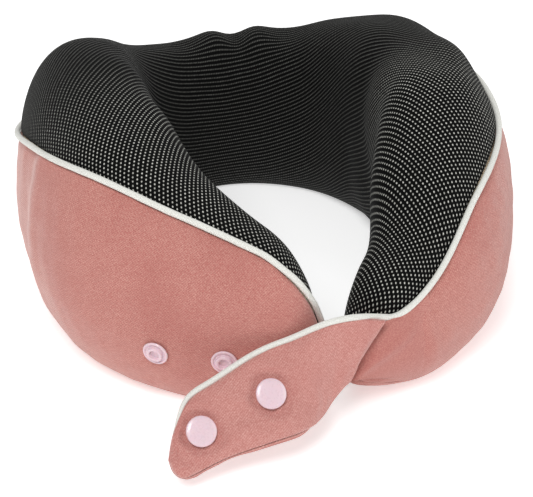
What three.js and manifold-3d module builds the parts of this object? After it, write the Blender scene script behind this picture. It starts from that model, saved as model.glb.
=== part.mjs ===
// A U-shaped memory foam travel neck pillow with a zipped cover and a press-stud strap.
// Millimetres, +Z up. The pillow lies flat, its closed back towards +Y, its open front
// towards -Y. The origin is on the floor under the middle of the whole object's box.

import * as THREE from 'three';
import { mergeVertices } from 'three/addons/utils/BufferGeometryUtils.js';
import ManifoldModule from 'manifold-3d';

const wasm = await ManifoldModule();
wasm.setup();

// ---------------------------------------------------------------- driving sizes

const NECK_CENTRE_Y = 15.5; // centre of the neck opening, on X = 0

// The foam roll, as sections on rays from the neck centre. Angle 0 points to the back,
// negative angles run round the left arm and positive ones round the right arm.
const SECTIONS = [
  // angle, inner radius, outer radius, height, height of the piping on the outer wall
  [-175, 90, 126, 45, 43],
  [-172, 88, 126, 64, 60],
  [-167, 84, 125, 80, 75],
  [-160, 78, 123, 88, 84],
  [-140, 67, 124, 101, 95],
  [-115, 58, 128, 117, 104],
  [-90, 56, 124, 126, 96],
  [-60, 61, 127, 125, 76],
  [-30, 74, 124, 97, 65],
  [0, 81, 120, 89, 58],
  [30, 74, 124, 96, 65],
  [60, 61, 127, 117, 75],
  [90, 56, 123, 118, 96],
  [115, 58, 124, 118, 94],
  [140, 62, 128, 95, 82],
  [160, 77, 127, 69, 57],
  [168, 83, 125, 62, 49],
  [173.5, 87, 123, 54, 45.5],
  [177.5, 88, 122, 40, 38],
];
// How far the crest leans towards the neck, by angle from the back.
const LEAN = [[0, 2], [30, 4], [60, 8], [90, 12], [115, 14], [140, 12], [160, 6], [178, 2]];
const LEAN_START = 0.35; // share of the height below which the wall doesn't lean
const LEAN_GAIN = 1.6;
const LEAN_POWER = 1.3;
const SQUARENESS = 2.5; // exponent of the superellipse section
const BASE_SINK = 3; // how much of the round bottom the floor flattens
const TIP_HALF_WIDTH = 2.2; // half thickness of the closed seam at each arm's tip
const LEFT_TIP_START = -162;
const RIGHT_TIP_START = 167;

const COVER_THICKNESS = 1.5; // jersey or knit with its lining
const GAP = 0.3; // clearance between touching pieces
const FOAM_INSET = COVER_THICKNESS + GAP;
const PIPING_RADIUS = 1.45;
const PIPING_PROUD = 0.9; // how far the piping's centre stands out of the cover
const TIP_PROUD = 1.2; // how much further out it stands at the arms' tips
const SEAM_CLEARANCE = PIPING_RADIUS + 0.6;
const INNER_HEM = 247; // section angle of the seam between the black knit and the base
const TOP_PIPING_END = 170; // where the piping leaves the right arm for the strap

const ZIP_Z = 11;
const HEM_Z = 4; // height of the same seam on the arms, past the zip
const HEM_START = 56; // the seam comes down from the zip between these angles
const HEM_END = 85;
const ZIP_HALF_GAP = 4.4;
const ZIP_FULL = 45; // the zip opening has its full width between these angles
const ZIP_CLOSED = 53; // past here the two panels are sewn edge to edge
const TAPE_END = 50;
const ZIP_ARC_CENTRE_Y = 3.2; // the zip's own arc, a little wider than the neck's
const ZIP_ARC_RADIUS = 130.7;
const ZIP_ARC_TURN = 37; // how far the coil runs each way round its arc, degrees
const ZIP_COIL_RADIUS = 1;

const STUDS = [{ angle: -138, z: 34 }, { angle: -153, z: 35 }];
const STUD_FLANGE_RADIUS = 6;
const CAP_RADIUS = 6.9;
const POST_RADIUS = 1.5;
const HOLE_RADIUS = 2;

// The strap, in its own sheet: s runs from the seam towards the free end, w runs up it.
const STRAP_TOP = [[-15, 18], [5, 20], [25, 17], [44, 13], [65, 3], [78, -4], [87, -16], [92, -28]];
const STRAP_BOTTOM = [
  [4, -13], [15, -15], [25, -21], [43, -25], [66, -30], [80, -35], [88, -37], [91.5, -32],
];
const STRAP_MID_Z = 36;
const STRAP_ROOT_Y = -124; // from the neck centre
const STRAP_BOW = 8; // how far the strap stands forward past the left arm's tip
const STRAP_RETURN = 7; // how far its free end comes back
const STRAP_LEAN = 44; // how far the strap's face tips back, degrees
const STRAP_EDGE_HALF = 1;
const STRAP_CROWN = 2.2;
const STRAP_SNAPS = [[43, -5], [76, -18]];
const STRAP_ENDS = 0.12; // share of the strap's length over which each end thins out
const STRAP_PIPING_START = 0.01; // shares of the strap's top edge
const STRAP_PIPING_END = 0.87;
const LAYER = 1.2; // jersey of the strap
const PAD_CLEARANCE = 0.5;
const PAD_INSET = 0.13;

// ---------------------------------------------------------------- colours

const cloth = (color) => new THREE.MeshStandardMaterial({ color, roughness: 0.95, metalness: 0 });
const plastic = (color) => new THREE.MeshStandardMaterial({ color, roughness: 0.3, metalness: 0 });
const foam = new THREE.MeshStandardMaterial({ color: '#efe6c8', roughness: 1, metalness: 0 });
const metal = new THREE.MeshStandardMaterial({ color: '#d9d5d2', roughness: 0.3, metalness: 1 });
const PINK = '#c98b81';
const BLACK = '#1b1b1d';
const WHITE = '#efefe9';
const SNAP = '#ecd6de';
const ZIP = '#c2867c';

// ---------------------------------------------------------------- helpers

const rad = THREE.MathUtils.degToRad;
const smooth = (x, a, b) => THREE.MathUtils.smoothstep(x, a, b);

// Smooth curve through rows of [x, value...]: cubic pieces with finite-difference slopes.
function curveThrough(rows, column) {
  const slope = (i) => {
    const a = rows[Math.max(i - 1, 0)];
    const b = rows[Math.min(i + 1, rows.length - 1)];
    return (b[column] - a[column]) / (b[0] - a[0]);
  };
  return (x) => {
    const clamped = THREE.MathUtils.clamp(x, rows[0][0], rows.at(-1)[0]);
    let i = 0;
    while (i < rows.length - 2 && clamped > rows[i + 1][0]) i += 1;
    const width = rows[i + 1][0] - rows[i][0];
    const t = (clamped - rows[i][0]) / width;
    const rise = rows[i + 1][column] - rows[i][column];
    const m0 = slope(i) * width;
    const m1 = slope(i + 1) * width;
    return rows[i][column] + m0 * t + (3 * rise - 2 * m0 - m1) * t ** 2 + (m0 + m1 - 2 * rise) * t ** 3;
  };
}

const innerRadius = curveThrough(SECTIONS, 1);
const outerRadius = curveThrough(SECTIONS, 2);
const height = curveThrough(SECTIONS, 3);
const pipingHeight = curveThrough(SECTIONS, 4);
const lean = curveThrough(LEAN, 1);
const LEFT_END = SECTIONS[0][0];
const RIGHT_END = SECTIONS.at(-1)[0];

// 1 along the arms, falling to 0 at the very tips like a quarter circle.
function tipRounding(angle) {
  const left = (LEFT_TIP_START - angle) / (LEFT_TIP_START - LEFT_END);
  const right = (angle - RIGHT_TIP_START) / (RIGHT_END - RIGHT_TIP_START);
  const t = THREE.MathUtils.clamp(Math.max(left, right), 0, 1);
  return Math.sqrt(1 - t * t);
}

// How far the crest has moved towards the neck at a height.
function leaning(angle, z) {
  const share = Math.max(z / height(angle) - LEAN_START, 0);
  return LEAN_GAIN * lean(Math.abs(angle)) * share ** LEAN_POWER;
}

// A point of the skin. The section angle is 0 on the outer wall, 90 on top, 180 on the
// inner wall and 270 underneath; depth is how far inside the skin the point lies.
function skin(angle, section, depth = 0) {
  const c = Math.cos(rad(section));
  const s = Math.sin(rad(section));
  const reach = (Math.abs(c) ** SQUARENESS + Math.abs(s) ** SQUARENESS) ** (-1 / SQUARENESS);
  const middle = (innerRadius(angle) + outerRadius(angle)) / 2;
  const wide = (outerRadius(angle) - innerRadius(angle)) / 2;
  const half = TIP_HALF_WIDTH + (wide - TIP_HALF_WIDTH) * tipRounding(angle) - depth;
  const round = (height(angle) - 2 * depth + BASE_SINK) / 2;
  const z = depth + Math.max(0, round * (1 + reach * s) - BASE_SINK);
  const r = middle + half * reach * c - leaning(angle, z);
  return new THREE.Vector3(r * Math.sin(rad(angle)), r * Math.cos(rad(angle)) + NECK_CENTRE_Y, z);
}

// The section angle at which the outer wall has the given height.
function sectionAt(angle, z) {
  let low = -89;
  let high = 89;
  for (let i = 0; i < 30; i += 1) {
    const middle = (low + high) / 2;
    if (skin(angle, middle).z < z) low = middle;
    else high = middle;
  }
  return (low + high) / 2;
}

// The section angle reached by going a distance in mm along the skin.
function stepAlong(angle, section, distance) {
  const speed = skin(angle, section + 0.5).distanceTo(skin(angle, section - 0.5));
  return section + distance / speed;
}

function skinFrame(angle, section) {
  const point = skin(angle, section);
  const across = skin(angle, section + 0.5).sub(point);
  const along = skin(angle + 0.5, section).sub(point);
  return { point, normal: across.cross(along).normalize() };
}

const pipingSection = (angle) => sectionAt(angle, pipingHeight(angle));

// Values from one end to the other, a little closer together near the ends.
const CROWDING = 0.06;
function spread(from, to, count) {
  return Array.from({ length: count + 1 }, (_, i) => {
    const t = i / count;
    return from + (to - from) * (t - CROWDING * Math.sin(2 * Math.PI * t));
  });
}

function solidFrom(points, faces) {
  const geometry = new THREE.BufferGeometry();
  geometry.setAttribute('position', new THREE.Float32BufferAttribute(points.flatMap((p) => p.toArray()), 3));
  geometry.setIndex(faces.flat());
  geometry.computeVertexNormals();
  return geometry;
}

// A closed solid between two grids of points of the same shape, outer[row][column].
function slab(outer, inner) {
  const rows = outer.length;
  const columns = outer[0].length;
  const points = [...outer.flat(), ...inner.flat()];
  const at = (side, i, j) => side * rows * columns + i * columns + j;
  const faces = [];
  const quad = (a, b, c, d) => faces.push([a, b, c], [a, c, d]);
  for (let i = 0; i < rows - 1; i += 1) {
    for (let j = 0; j < columns - 1; j += 1) {
      quad(at(0, i, j), at(0, i, j + 1), at(0, i + 1, j + 1), at(0, i + 1, j));
      quad(at(1, i, j), at(1, i + 1, j), at(1, i + 1, j + 1), at(1, i, j + 1));
    }
  }
  const last = rows - 1;
  const end = columns - 1;
  for (let i = 0; i < last; i += 1) {
    quad(at(0, i, 0), at(0, i + 1, 0), at(1, i + 1, 0), at(1, i, 0));
    quad(at(0, i + 1, end), at(0, i, end), at(1, i, end), at(1, i + 1, end));
  }
  for (let j = 0; j < end; j += 1) {
    quad(at(0, 0, j + 1), at(0, 0, j), at(1, 0, j), at(1, 0, j + 1));
    quad(at(0, last, j), at(0, last, j + 1), at(1, last, j + 1), at(1, last, j));
  }
  return outwards(solidFrom(points, faces));
}

// A closed solid through a row of rings, with a fan over each end.
function loft(rings) {
  const count = rings[0].length;
  const points = rings.flat();
  const faces = [];
  for (let i = 0; i < rings.length - 1; i += 1) {
    for (let j = 0; j < count; j += 1) {
      const k = (j + 1) % count;
      const a = i * count;
      faces.push([a + j, a + k, a + count + k], [a + j, a + count + k, a + count + j]);
    }
  }
  for (const [ring, flip] of [[0, true], [rings.length - 1, false]]) {
    const centre = new THREE.Vector3();
    rings[ring].forEach((p) => centre.addScaledVector(p, 1 / count));
    const hub = points.push(centre) - 1;
    for (let j = 0; j < count; j += 1) {
      const a = ring * count + j;
      const b = ring * count + ((j + 1) % count);
      faces.push(flip ? [hub, b, a] : [hub, a, b]);
    }
  }
  return outwards(solidFrom(points, faces));
}

// Turns every face over if the solid's volume comes out negative.
function outwards(geometry) {
  const p = geometry.attributes.position;
  const index = geometry.index.array;
  const corner = (i) => new THREE.Vector3().fromBufferAttribute(p, index[i]);
  let volume = 0;
  for (let i = 0; i < index.length; i += 3) volume += corner(i).dot(corner(i + 1).cross(corner(i + 2)));
  if (volume < 0) {
    for (let i = 0; i < index.length; i += 3) {
      [index[i], index[i + 1]] = [index[i + 1], index[i]];
    }
    geometry.computeVertexNormals();
  }
  return geometry;
}

function toManifold(geometry) {
  const bare = geometry.clone();
  bare.deleteAttribute('normal');
  bare.deleteAttribute('uv');
  const merged = mergeVertices(bare, 1e-4);
  return new wasm.Manifold(new wasm.Mesh({
    numProp: 3,
    vertProperties: new Float32Array(merged.attributes.position.array),
    triVerts: new Uint32Array(merged.index.array),
  }));
}

function fromManifold(solid) {
  const mesh = solid.getMesh();
  const result = new THREE.BufferGeometry();
  result.setAttribute('position', new THREE.Float32BufferAttribute(mesh.vertProperties, 3));
  result.setIndex(Array.from(mesh.triVerts));
  result.computeVertexNormals();
  return result;
}

// The first geometry with every one of the others cut out of it.
function cut(geometry, tools) {
  let solid = toManifold(geometry);
  for (const tool of tools) solid = solid.subtract(toManifold(tool));
  return fromManifold(solid);
}

const join = (first, second) => fromManifold(toManifold(first).add(toManifold(second)));

// A round cord along a smooth curve through the points.
function tube(points, radius, steps, sides = 8) {
  const section = new THREE.Shape();
  for (let i = 0; i < sides; i += 1) {
    const turn = (i / sides) * 2 * Math.PI;
    const move = i === 0 ? 'moveTo' : 'lineTo';
    section[move](radius * Math.cos(turn), radius * Math.sin(turn));
  }
  section.closePath();
  const extrudePath = new THREE.CatmullRomCurve3(points, false, 'centripetal');
  return new THREE.ExtrudeGeometry(section, { extrudePath, steps, bevelEnabled: false });
}

// A turned piece: the profile is [radius, height], and starts and ends on the axis.
function turned(profile, sides = 16) {
  return new THREE.LatheGeometry(profile.map(([r, z]) => new THREE.Vector2(r, z)), sides);
}

// Moves a piece made along +Y so that its axis starts at a point and runs along a direction.
function standing(geometry, point, direction) {
  const turn = new THREE.Quaternion().setFromUnitVectors(new THREE.Vector3(0, 1, 0), direction);
  return geometry.clone().applyQuaternion(turn).translate(point.x, point.y, point.z);
}

const pillow = new THREE.Group();

function add(name, geometry, material) {
  const mesh = new THREE.Mesh(geometry, material);
  mesh.name = name;
  pillow.add(mesh);
}

// ---------------------------------------------------------------- press studs on the arm

const rod = (radius, from, to) => turned([[0, from], [radius, from], [radius, to], [0, to]]);

const studPlaces = STUDS.map(({ angle, z }) => skinFrame(angle, sectionAt(angle, z)));

const studProfile = [
  [0, -1.7], [POST_RADIUS, -1.7], [POST_RADIUS, 0.5], [STUD_FLANGE_RADIUS, 0.5],
  [STUD_FLANGE_RADIUS, 0.9], [5.4, 1.2], [3.4, 1.2], [3.2, 2.3], [2.8, 2.5], [1.8, 2.5], [1.8, 1], [0, 1],
];
const backingProfile = [[0, -4.2], [5.1, -4.2], [5.5, -3.8], [5.5, -3], [0, -3]];
const POCKET_RADIUS = 6.2; // room for a backing in the foam
const POCKET_FLOOR = -4.8;

studPlaces.forEach(({ point, normal }, i) => {
  const side = ['outer', 'inner'][i];
  add(`lobe_stud_${side}`, standing(turned(studProfile), point, normal), plastic(SNAP));
  add(`stud_backing_${side}`, standing(turned(backingProfile), point, normal), plastic(SNAP));
});

const studHoles = studPlaces.map(({ point, normal }) => standing(rod(HOLE_RADIUS, -4, 3), point, normal));
const backingPockets = studPlaces.map(({ point, normal }) => (
  standing(rod(POCKET_RADIUS, POCKET_FLOOR, 3), point, normal)
));

// ---------------------------------------------------------------- foam and cover

// Angles of the sections that the foam and the cover panels share, closer at the tips.
const TIP_STEPS = [0, 1.5, 4];
const BODY_ROWS = 36;
const bodyStart = LEFT_END + 8; // past the rounded tips
const bodyEnd = RIGHT_END - 7;
const STATIONS = [
  ...TIP_STEPS.map((step) => LEFT_END + step),
  ...Array.from({ length: BODY_ROWS + 1 }, (_, i) => bodyStart + ((bodyEnd - bodyStart) * i) / BODY_ROWS),
  ...TIP_STEPS.map((step) => RIGHT_END - step),
  ...[ZIP_FULL, ZIP_CLOSED].flatMap((angle) => [-angle, angle]),
].sort((a, b) => a - b);

// Half the opening between the outer panel and the base: wide where the zip is.
const lowerOpening = (angle) => (
  GAP + (ZIP_HALF_GAP - GAP) * (1 - smooth(Math.abs(angle), ZIP_FULL, ZIP_CLOSED))
);

// Height of the seam between the outer panel and the base.
const lowerSeam = (angle) => THREE.MathUtils.lerp(ZIP_Z, HEM_Z, smooth(Math.abs(angle), HEM_START, HEM_END));

// Section angles across each cover panel, from one edge to the other.
function columnsBetween(from, to, columns) {
  return Array.from({ length: columns + 1 }, (_, j) => THREE.MathUtils.lerp(from, to, j / columns));
}
const outerPanelSections = (angle) => columnsBetween(
  sectionAt(angle, lowerSeam(angle) + lowerOpening(angle)),
  stepAlong(angle, pipingSection(angle), -SEAM_CLEARANCE),
  6,
);
const innerPanelSections = (angle) => columnsBetween(
  stepAlong(angle, pipingSection(angle), SEAM_CLEARANCE + 2 * (1 - tipRounding(angle))),
  INNER_HEM,
  10,
);
const basePanelSections = (angle) => columnsBetween(
  stepAlong(angle, INNER_HEM, GAP),
  sectionAt(angle, lowerSeam(angle) - lowerOpening(angle)) + 360,
  4,
);

function panel(sections) {
  const row = (angle, depth) => sections(angle).map((section) => skin(angle, section, depth));
  const grid = (depth) => STATIONS.map((angle) => row(angle, depth));
  return slab(grid(0), grid(COVER_THICKNESS));
}

// The foam has the panels' own section points, so it lies parallel to them all over.
function foamCore() {
  const rings = STATIONS.slice(2, -1).map((angle) => [
    ...outerPanelSections(angle),
    ...innerPanelSections(angle),
    ...basePanelSections(angle),
  ].map((section) => skin(angle, section, FOAM_INSET)));
  return cut(loft(rings), backingPockets);
}

add('foam_core', foamCore(), foam);
add('inner_knit_panel', panel(innerPanelSections), cloth(BLACK));
add('outer_jersey_panel', cut(panel(outerPanelSections), studHoles), cloth(PINK));
add('base_panel', panel(basePanelSections), cloth(PINK));

// ---------------------------------------------------------------- piping

function pipingPoint(angle) {
  const { point, normal } = skinFrame(angle, pipingSection(angle));
  return point.addScaledVector(normal, PIPING_PROUD + TIP_PROUD * (1 - tipRounding(angle)));
}

const TIP_PIPING_GAP = 0.4; // from the arm's closed edge
const TIP_PIPING_DROP = 6; // below the end of the top piping
const TIP_PIPING_LIFT = 1.5; // above the floor

// Down the closed edge at an arm's tip, from the piping's height to the floor.
function tipPiping(endAngle, outwardsSign) {
  const off = PIPING_RADIUS + TIP_PIPING_GAP;
  const middle = (innerRadius(endAngle) + outerRadius(endAngle)) / 2;
  const top = pipingHeight(endAngle) - TIP_PIPING_DROP;
  const bottom = PIPING_RADIUS + TIP_PIPING_LIFT;
  return [0, 0.3, 0.6, 1].map((share) => {
    const z = THREE.MathUtils.lerp(top, bottom, share);
    const r = middle - leaning(endAngle, z);
    const x = r * Math.sin(rad(endAngle)) + outwardsSign * off * Math.cos(rad(endAngle));
    const y = r * Math.cos(rad(endAngle)) - outwardsSign * off * Math.sin(rad(endAngle));
    return new THREE.Vector3(x, y + NECK_CENTRE_Y, z);
  });
}

const topPipingPoints = spread(LEFT_END + 0.6, TOP_PIPING_END, 44).map(pipingPoint);
add('top_piping', tube(topPipingPoints, PIPING_RADIUS, 64, 6), cloth(WHITE));
add('tip_piping_left', tube(tipPiping(LEFT_END, -1), PIPING_RADIUS, 8, 6), cloth(WHITE));
add('tip_piping_right', tube(tipPiping(RIGHT_END, 1), PIPING_RADIUS, 8, 6), cloth(WHITE));

// ---------------------------------------------------------------- strap

function strapSheet(s) {
  const out = STRAP_RETURN * smooth(s, 32, 95) - STRAP_BOW * smooth(s, -6, 32);
  return { y: STRAP_ROOT_Y + NECK_CENTRE_Y + out, tip: rad(STRAP_LEAN) * smooth(s, -4, 42) };
}

// A point of the strap: along it, up it, and out of its face.
function strapPoint(s, w, out = 0) {
  const { y, tip } = strapSheet(s);
  return new THREE.Vector3(
    -s,
    y + w * Math.sin(tip) - out * Math.cos(tip),
    STRAP_MID_Z + w * Math.cos(tip) + out * Math.sin(tip),
  );
}

const outline = (points) => new THREE.SplineCurve(points.map(([s, w]) => new THREE.Vector2(s, w)));
const strapTop = outline(STRAP_TOP);
const strapBottom = outline(STRAP_BOTTOM);

// Half the strap's thickness: thin at its edges, crowned in the middle.
function strapHalf(a, across) {
  const ends = Math.min(1, a / STRAP_ENDS, (1 - a) / STRAP_ENDS);
  return STRAP_EDGE_HALF + STRAP_CROWN * (1 - across ** 4) * Math.sin((Math.max(ends, 0) * Math.PI) / 2);
}

function strapLayer(frontDepth, backDepth, inset = 0) {
  const rows = 18;
  const columns = 6;
  const grid = (depth) => Array.from({ length: rows + 1 }, (_, i) => {
    const a = inset + (1 - 2 * inset) * (i / rows);
    const high = strapTop.getPoint(a);
    const low = strapBottom.getPoint(a);
    return Array.from({ length: columns + 1 }, (__, j) => {
      const across = (1 - 2 * inset) * ((2 * j) / columns - 1);
      const place = low.clone().lerp(high, (across + 1) / 2);
      return strapPoint(place.x, place.y, depth(strapHalf(a, across)));
    });
  });
  return slab(grid(frontDepth), grid(backDepth));
}

function strapSnapFrame([s, w]) {
  const { tip } = strapSheet(s);
  const half = STRAP_EDGE_HALF + STRAP_CROWN;
  return { point: strapPoint(s, w), normal: new THREE.Vector3(0, -Math.cos(tip), Math.sin(tip)), half };
}

const strapSnaps = STRAP_SNAPS.map(strapSnapFrame);
const strapHoles = strapSnaps.map(({ point, normal }) => standing(rod(HOLE_RADIUS, -6, 6), point, normal));
const capWells = strapSnaps.map(({ point, normal, half }) => (
  standing(rod(CAP_RADIUS + 0.3, half - 0.7, half + 4), point, normal)
));
const strapFront = strapLayer((h) => h, (h) => Math.max(h - LAYER, 0.15));
const padHalf = (h) => h - LAYER - PAD_CLEARANCE;
const strapPadding = strapLayer(padHalf, (h) => -padHalf(h), PAD_INSET);
const strapBack = strapLayer((h) => -Math.max(h - LAYER, 0.15), (h) => -h);
add('strap_front_panel', cut(strapFront, [...strapHoles, ...capWells]), cloth(PINK));
add('strap_padding', cut(strapPadding, strapHoles), foam);
add('strap_back_panel', cut(strapBack, strapHoles), cloth(PINK));

const strapEdgePoints = Array.from({ length: 26 }, (_, i) => {
  const a = THREE.MathUtils.lerp(STRAP_PIPING_START, STRAP_PIPING_END, i / 25);
  const along = strapTop.getTangent(a);
  const edge = strapTop.getPoint(a).add(new THREE.Vector2(-along.y, along.x).multiplyScalar(SEAM_CLEARANCE));
  return strapPoint(edge.x, edge.y);
});
add('strap_piping', tube(strapEdgePoints, PIPING_RADIUS, 32, 6), cloth(WHITE));

strapSnaps.forEach(({ point, normal, half }, i) => {
  const side = ['inner', 'outer'][i];
  const seat = half - 0.5;
  const back = half + 0.8;
  const capProfile = [
    [0, 0.6 - half], [POST_RADIUS, 0.6 - half], [POST_RADIUS, seat], [CAP_RADIUS - 0.3, seat],
    [CAP_RADIUS, seat + 0.5], [CAP_RADIUS - 0.4, seat + 1.2], [CAP_RADIUS * 0.6, seat + 1.6], [0, seat + 1.7],
  ];
  const socketProfile = [
    [0, -back], [STUD_FLANGE_RADIUS, -back], [STUD_FLANGE_RADIUS, -back - 0.8],
    [4.9, -back - 1.2], [4.6, -back - 3.1], [3.6, -back - 3.1], [3.6, -back - 1], [0, -back - 1],
  ];
  add(`strap_cap_${side}`, standing(turned(capProfile), point, normal), plastic(SNAP));
  add(`strap_socket_${side}`, standing(turned([...socketProfile].reverse()), point, normal), plastic(SNAP));
});

// ---------------------------------------------------------------- zip

const TAPE_COIL_GAP = 0.4;
const TAPE_SLACK = 0.8;
const TAPE_DEPTHS = [0.4, 1.2]; // its outer and inner face, below the cover's surface

// A tape fills the opening from beside the coil to just short of the panel's edge.
function zipTape(side) {
  const rows = 28;
  const grid = (depth) => Array.from({ length: rows + 1 }, (_, i) => {
    const angle = THREE.MathUtils.lerp(-TAPE_END, TAPE_END, i / rows);
    const reach = [TAPE_COIL_GAP, lowerOpening(angle) - TAPE_SLACK];
    return reach.map((up) => skin(angle, sectionAt(angle, ZIP_Z + side * up), depth));
  });
  return slab(...TAPE_DEPTHS.map(grid));
}

add('zip_tape_upper', zipTape(1), cloth(ZIP));
add('zip_tape_lower', zipTape(-1), cloth(ZIP));

// A point of the zip's arc, by its turn about the arc's own centre.
const zipArcPoint = (turn, out = 0, up = 0) => new THREE.Vector3(
  (ZIP_ARC_RADIUS + out) * Math.sin(rad(turn)),
  (ZIP_ARC_RADIUS + out) * Math.cos(rad(turn)) + ZIP_ARC_CENTRE_Y,
  ZIP_Z + up,
);

const coilPoints = spread(-ZIP_ARC_TURN, ZIP_ARC_TURN, 12).map((turn) => zipArcPoint(turn));
add('zip_coil', tube(coilPoints, ZIP_COIL_RADIUS, 36, 6), plastic(ZIP));

// The two end rings of a block on the zip's arc: its section is [out, up].
function arcBlock(section, fromTurn, toTurn) {
  return [fromTurn, toTurn].map((turn) => section.map(([out, up]) => zipArcPoint(turn, out, up)));
}

const STOP_TURN = 1.6;
const STOP_GAP_TURN = 0.3;
const STOP_SECTION = [[-0.7, -2], [1.1, -2], [1.1, 2], [-0.7, 2]];
for (const [name, sign] of [['zip_stop_start', -1], ['zip_stop_end', 1]]) {
  const near = sign * (ZIP_ARC_TURN + STOP_GAP_TURN);
  add(name, loft(arcBlock(STOP_SECTION, near, near + sign * STOP_TURN)), metal);
}

// The slider rides over the coil: a plate with a flange on each side of the coil.
const SLIDER_HALF_TURN = 2.1;
const SLIDER_HALF_WIDTH = 3.7;
const CHANNEL_HALF_WIDTH = 2.2;
const SLIDER_TOP = 3;
const SLIDER_ROOF = 1.4;
const SLIDER_REST_TURN = ZIP_ARC_TURN - SLIDER_HALF_TURN - 0.6;

// The flanges and the plate are one bent section, sliced so that it stays one closed ring.
const FLANGE_FOOT = 0.7;
const sliderSection = [
  [FLANGE_FOOT, -SLIDER_HALF_WIDTH], [SLIDER_TOP, -SLIDER_HALF_WIDTH], [SLIDER_TOP, SLIDER_HALF_WIDTH],
  [FLANGE_FOOT, SLIDER_HALF_WIDTH], [FLANGE_FOOT, CHANNEL_HALF_WIDTH], [SLIDER_ROOF, CHANNEL_HALF_WIDTH],
  [SLIDER_ROOF, -CHANNEL_HALF_WIDTH], [FLANGE_FOOT, -CHANNEL_HALF_WIDTH],
];

function sliderBody() {
  const shape = new THREE.Shape(sliderSection.map(([out, up]) => new THREE.Vector2(out, up)));
  const length = 2 * ZIP_ARC_RADIUS * Math.tan(rad(SLIDER_HALF_TURN));
  const body = new THREE.ExtrudeGeometry(shape, { depth: length, bevelEnabled: false });
  return body.translate(0, 0, -length / 2);
}

// Puts a piece made in slider axes (x out, y up, z along the arc) at a turn of the arc.
function onArc(geometry, turn) {
  const out = new THREE.Vector3(Math.sin(rad(turn)), Math.cos(rad(turn)), 0);
  const up = new THREE.Vector3(0, 0, 1);
  const along = new THREE.Vector3().crossVectors(out, up);
  const place = new THREE.Matrix4().makeBasis(out, up, along).setPosition(zipArcPoint(turn));
  return geometry.clone().applyMatrix4(place);
}

// The slider's bridge: a low arch over the plate, along the arc, that holds the pull.
function sliderBridge() {
  const outer = new THREE.Shape();
  outer.moveTo(SLIDER_TOP - 0.3, -2.6);
  outer.lineTo(SLIDER_TOP + 2, -1.6);
  outer.lineTo(SLIDER_TOP + 2, 1.6);
  outer.lineTo(SLIDER_TOP - 0.3, 2.6);
  outer.lineTo(SLIDER_TOP - 0.3, 1.5);
  outer.lineTo(SLIDER_TOP + 1.2, 0.9);
  outer.lineTo(SLIDER_TOP + 1.2, -0.9);
  outer.lineTo(SLIDER_TOP - 0.3, -1.5);
  outer.closePath();
  const arch = new THREE.ExtrudeGeometry(outer, { depth: 1.2, bevelEnabled: false });
  return arch.translate(0, 0, -0.6).applyMatrix4(new THREE.Matrix4().makeRotationX(Math.PI / 2));
}

add('zip_slider', onArc(join(sliderBody(), sliderBridge()), SLIDER_REST_TURN), metal);

// The pull: a flat tab whose eye goes round the bridge. It lies along the zip at rest.
const PULL_PIVOT_OUT = SLIDER_TOP + 0.6;
function pullTab() {
  const tab = new THREE.Shape();
  tab.moveTo(-2.6, -0.3);
  tab.lineTo(2.6, -0.3);
  tab.lineTo(2.3, 6);
  tab.lineTo(3, 16);
  tab.absarc(0, 16, 3, 0, Math.PI, false);
  tab.lineTo(-2.3, 6);
  tab.closePath();
  const eye = new THREE.Path();
  eye.moveTo(-1.5, 0.3);
  eye.lineTo(-1.5, 3);
  eye.lineTo(1.5, 3);
  eye.lineTo(1.5, 0.3);
  eye.closePath();
  tab.holes.push(eye);
  return new THREE.ExtrudeGeometry(tab, { depth: 0.5, bevelEnabled: false, curveSegments: 8 });
}
// Tab axes: its width goes up, its length along the arc, its thickness out.
const tabTurn = new THREE.Matrix4().makeBasis(
  new THREE.Vector3(0, 1, 0),
  new THREE.Vector3(0, 0, 1),
  new THREE.Vector3(1, 0, 0),
).setPosition(PULL_PIVOT_OUT - 0.25, 0, 0);
add('zip_pull', onArc(pullTab().applyMatrix4(tabTurn), SLIDER_REST_TURN), metal);

export default pillow;
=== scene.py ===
import math

import bmesh
import bpy
import numpy as np
from mathutils import Matrix, Vector


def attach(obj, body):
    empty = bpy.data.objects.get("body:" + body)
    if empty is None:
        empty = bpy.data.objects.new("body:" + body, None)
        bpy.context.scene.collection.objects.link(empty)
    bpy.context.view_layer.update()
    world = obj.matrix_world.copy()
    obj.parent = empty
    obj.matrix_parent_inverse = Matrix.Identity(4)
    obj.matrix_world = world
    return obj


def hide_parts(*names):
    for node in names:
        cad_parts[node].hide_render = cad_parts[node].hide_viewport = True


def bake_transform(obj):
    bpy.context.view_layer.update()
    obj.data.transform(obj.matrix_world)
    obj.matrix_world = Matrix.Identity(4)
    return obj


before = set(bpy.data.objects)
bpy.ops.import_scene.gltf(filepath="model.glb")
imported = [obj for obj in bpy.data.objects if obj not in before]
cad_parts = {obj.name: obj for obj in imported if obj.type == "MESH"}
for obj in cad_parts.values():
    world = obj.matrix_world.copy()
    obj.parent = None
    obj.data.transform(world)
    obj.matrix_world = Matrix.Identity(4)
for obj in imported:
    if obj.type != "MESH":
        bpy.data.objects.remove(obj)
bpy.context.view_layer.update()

# A travel neck pillow: a foam roll in a dotted knit and pink jersey cover, with corded
# seams, a zip round the back and a press-stud strap. Shapes are worked out in mm, in the
# frame's own axes, and are turned into metres when a mesh is made.

MM = 0.001

# ------------------------------------------------------------------ the pillow's shape

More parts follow.
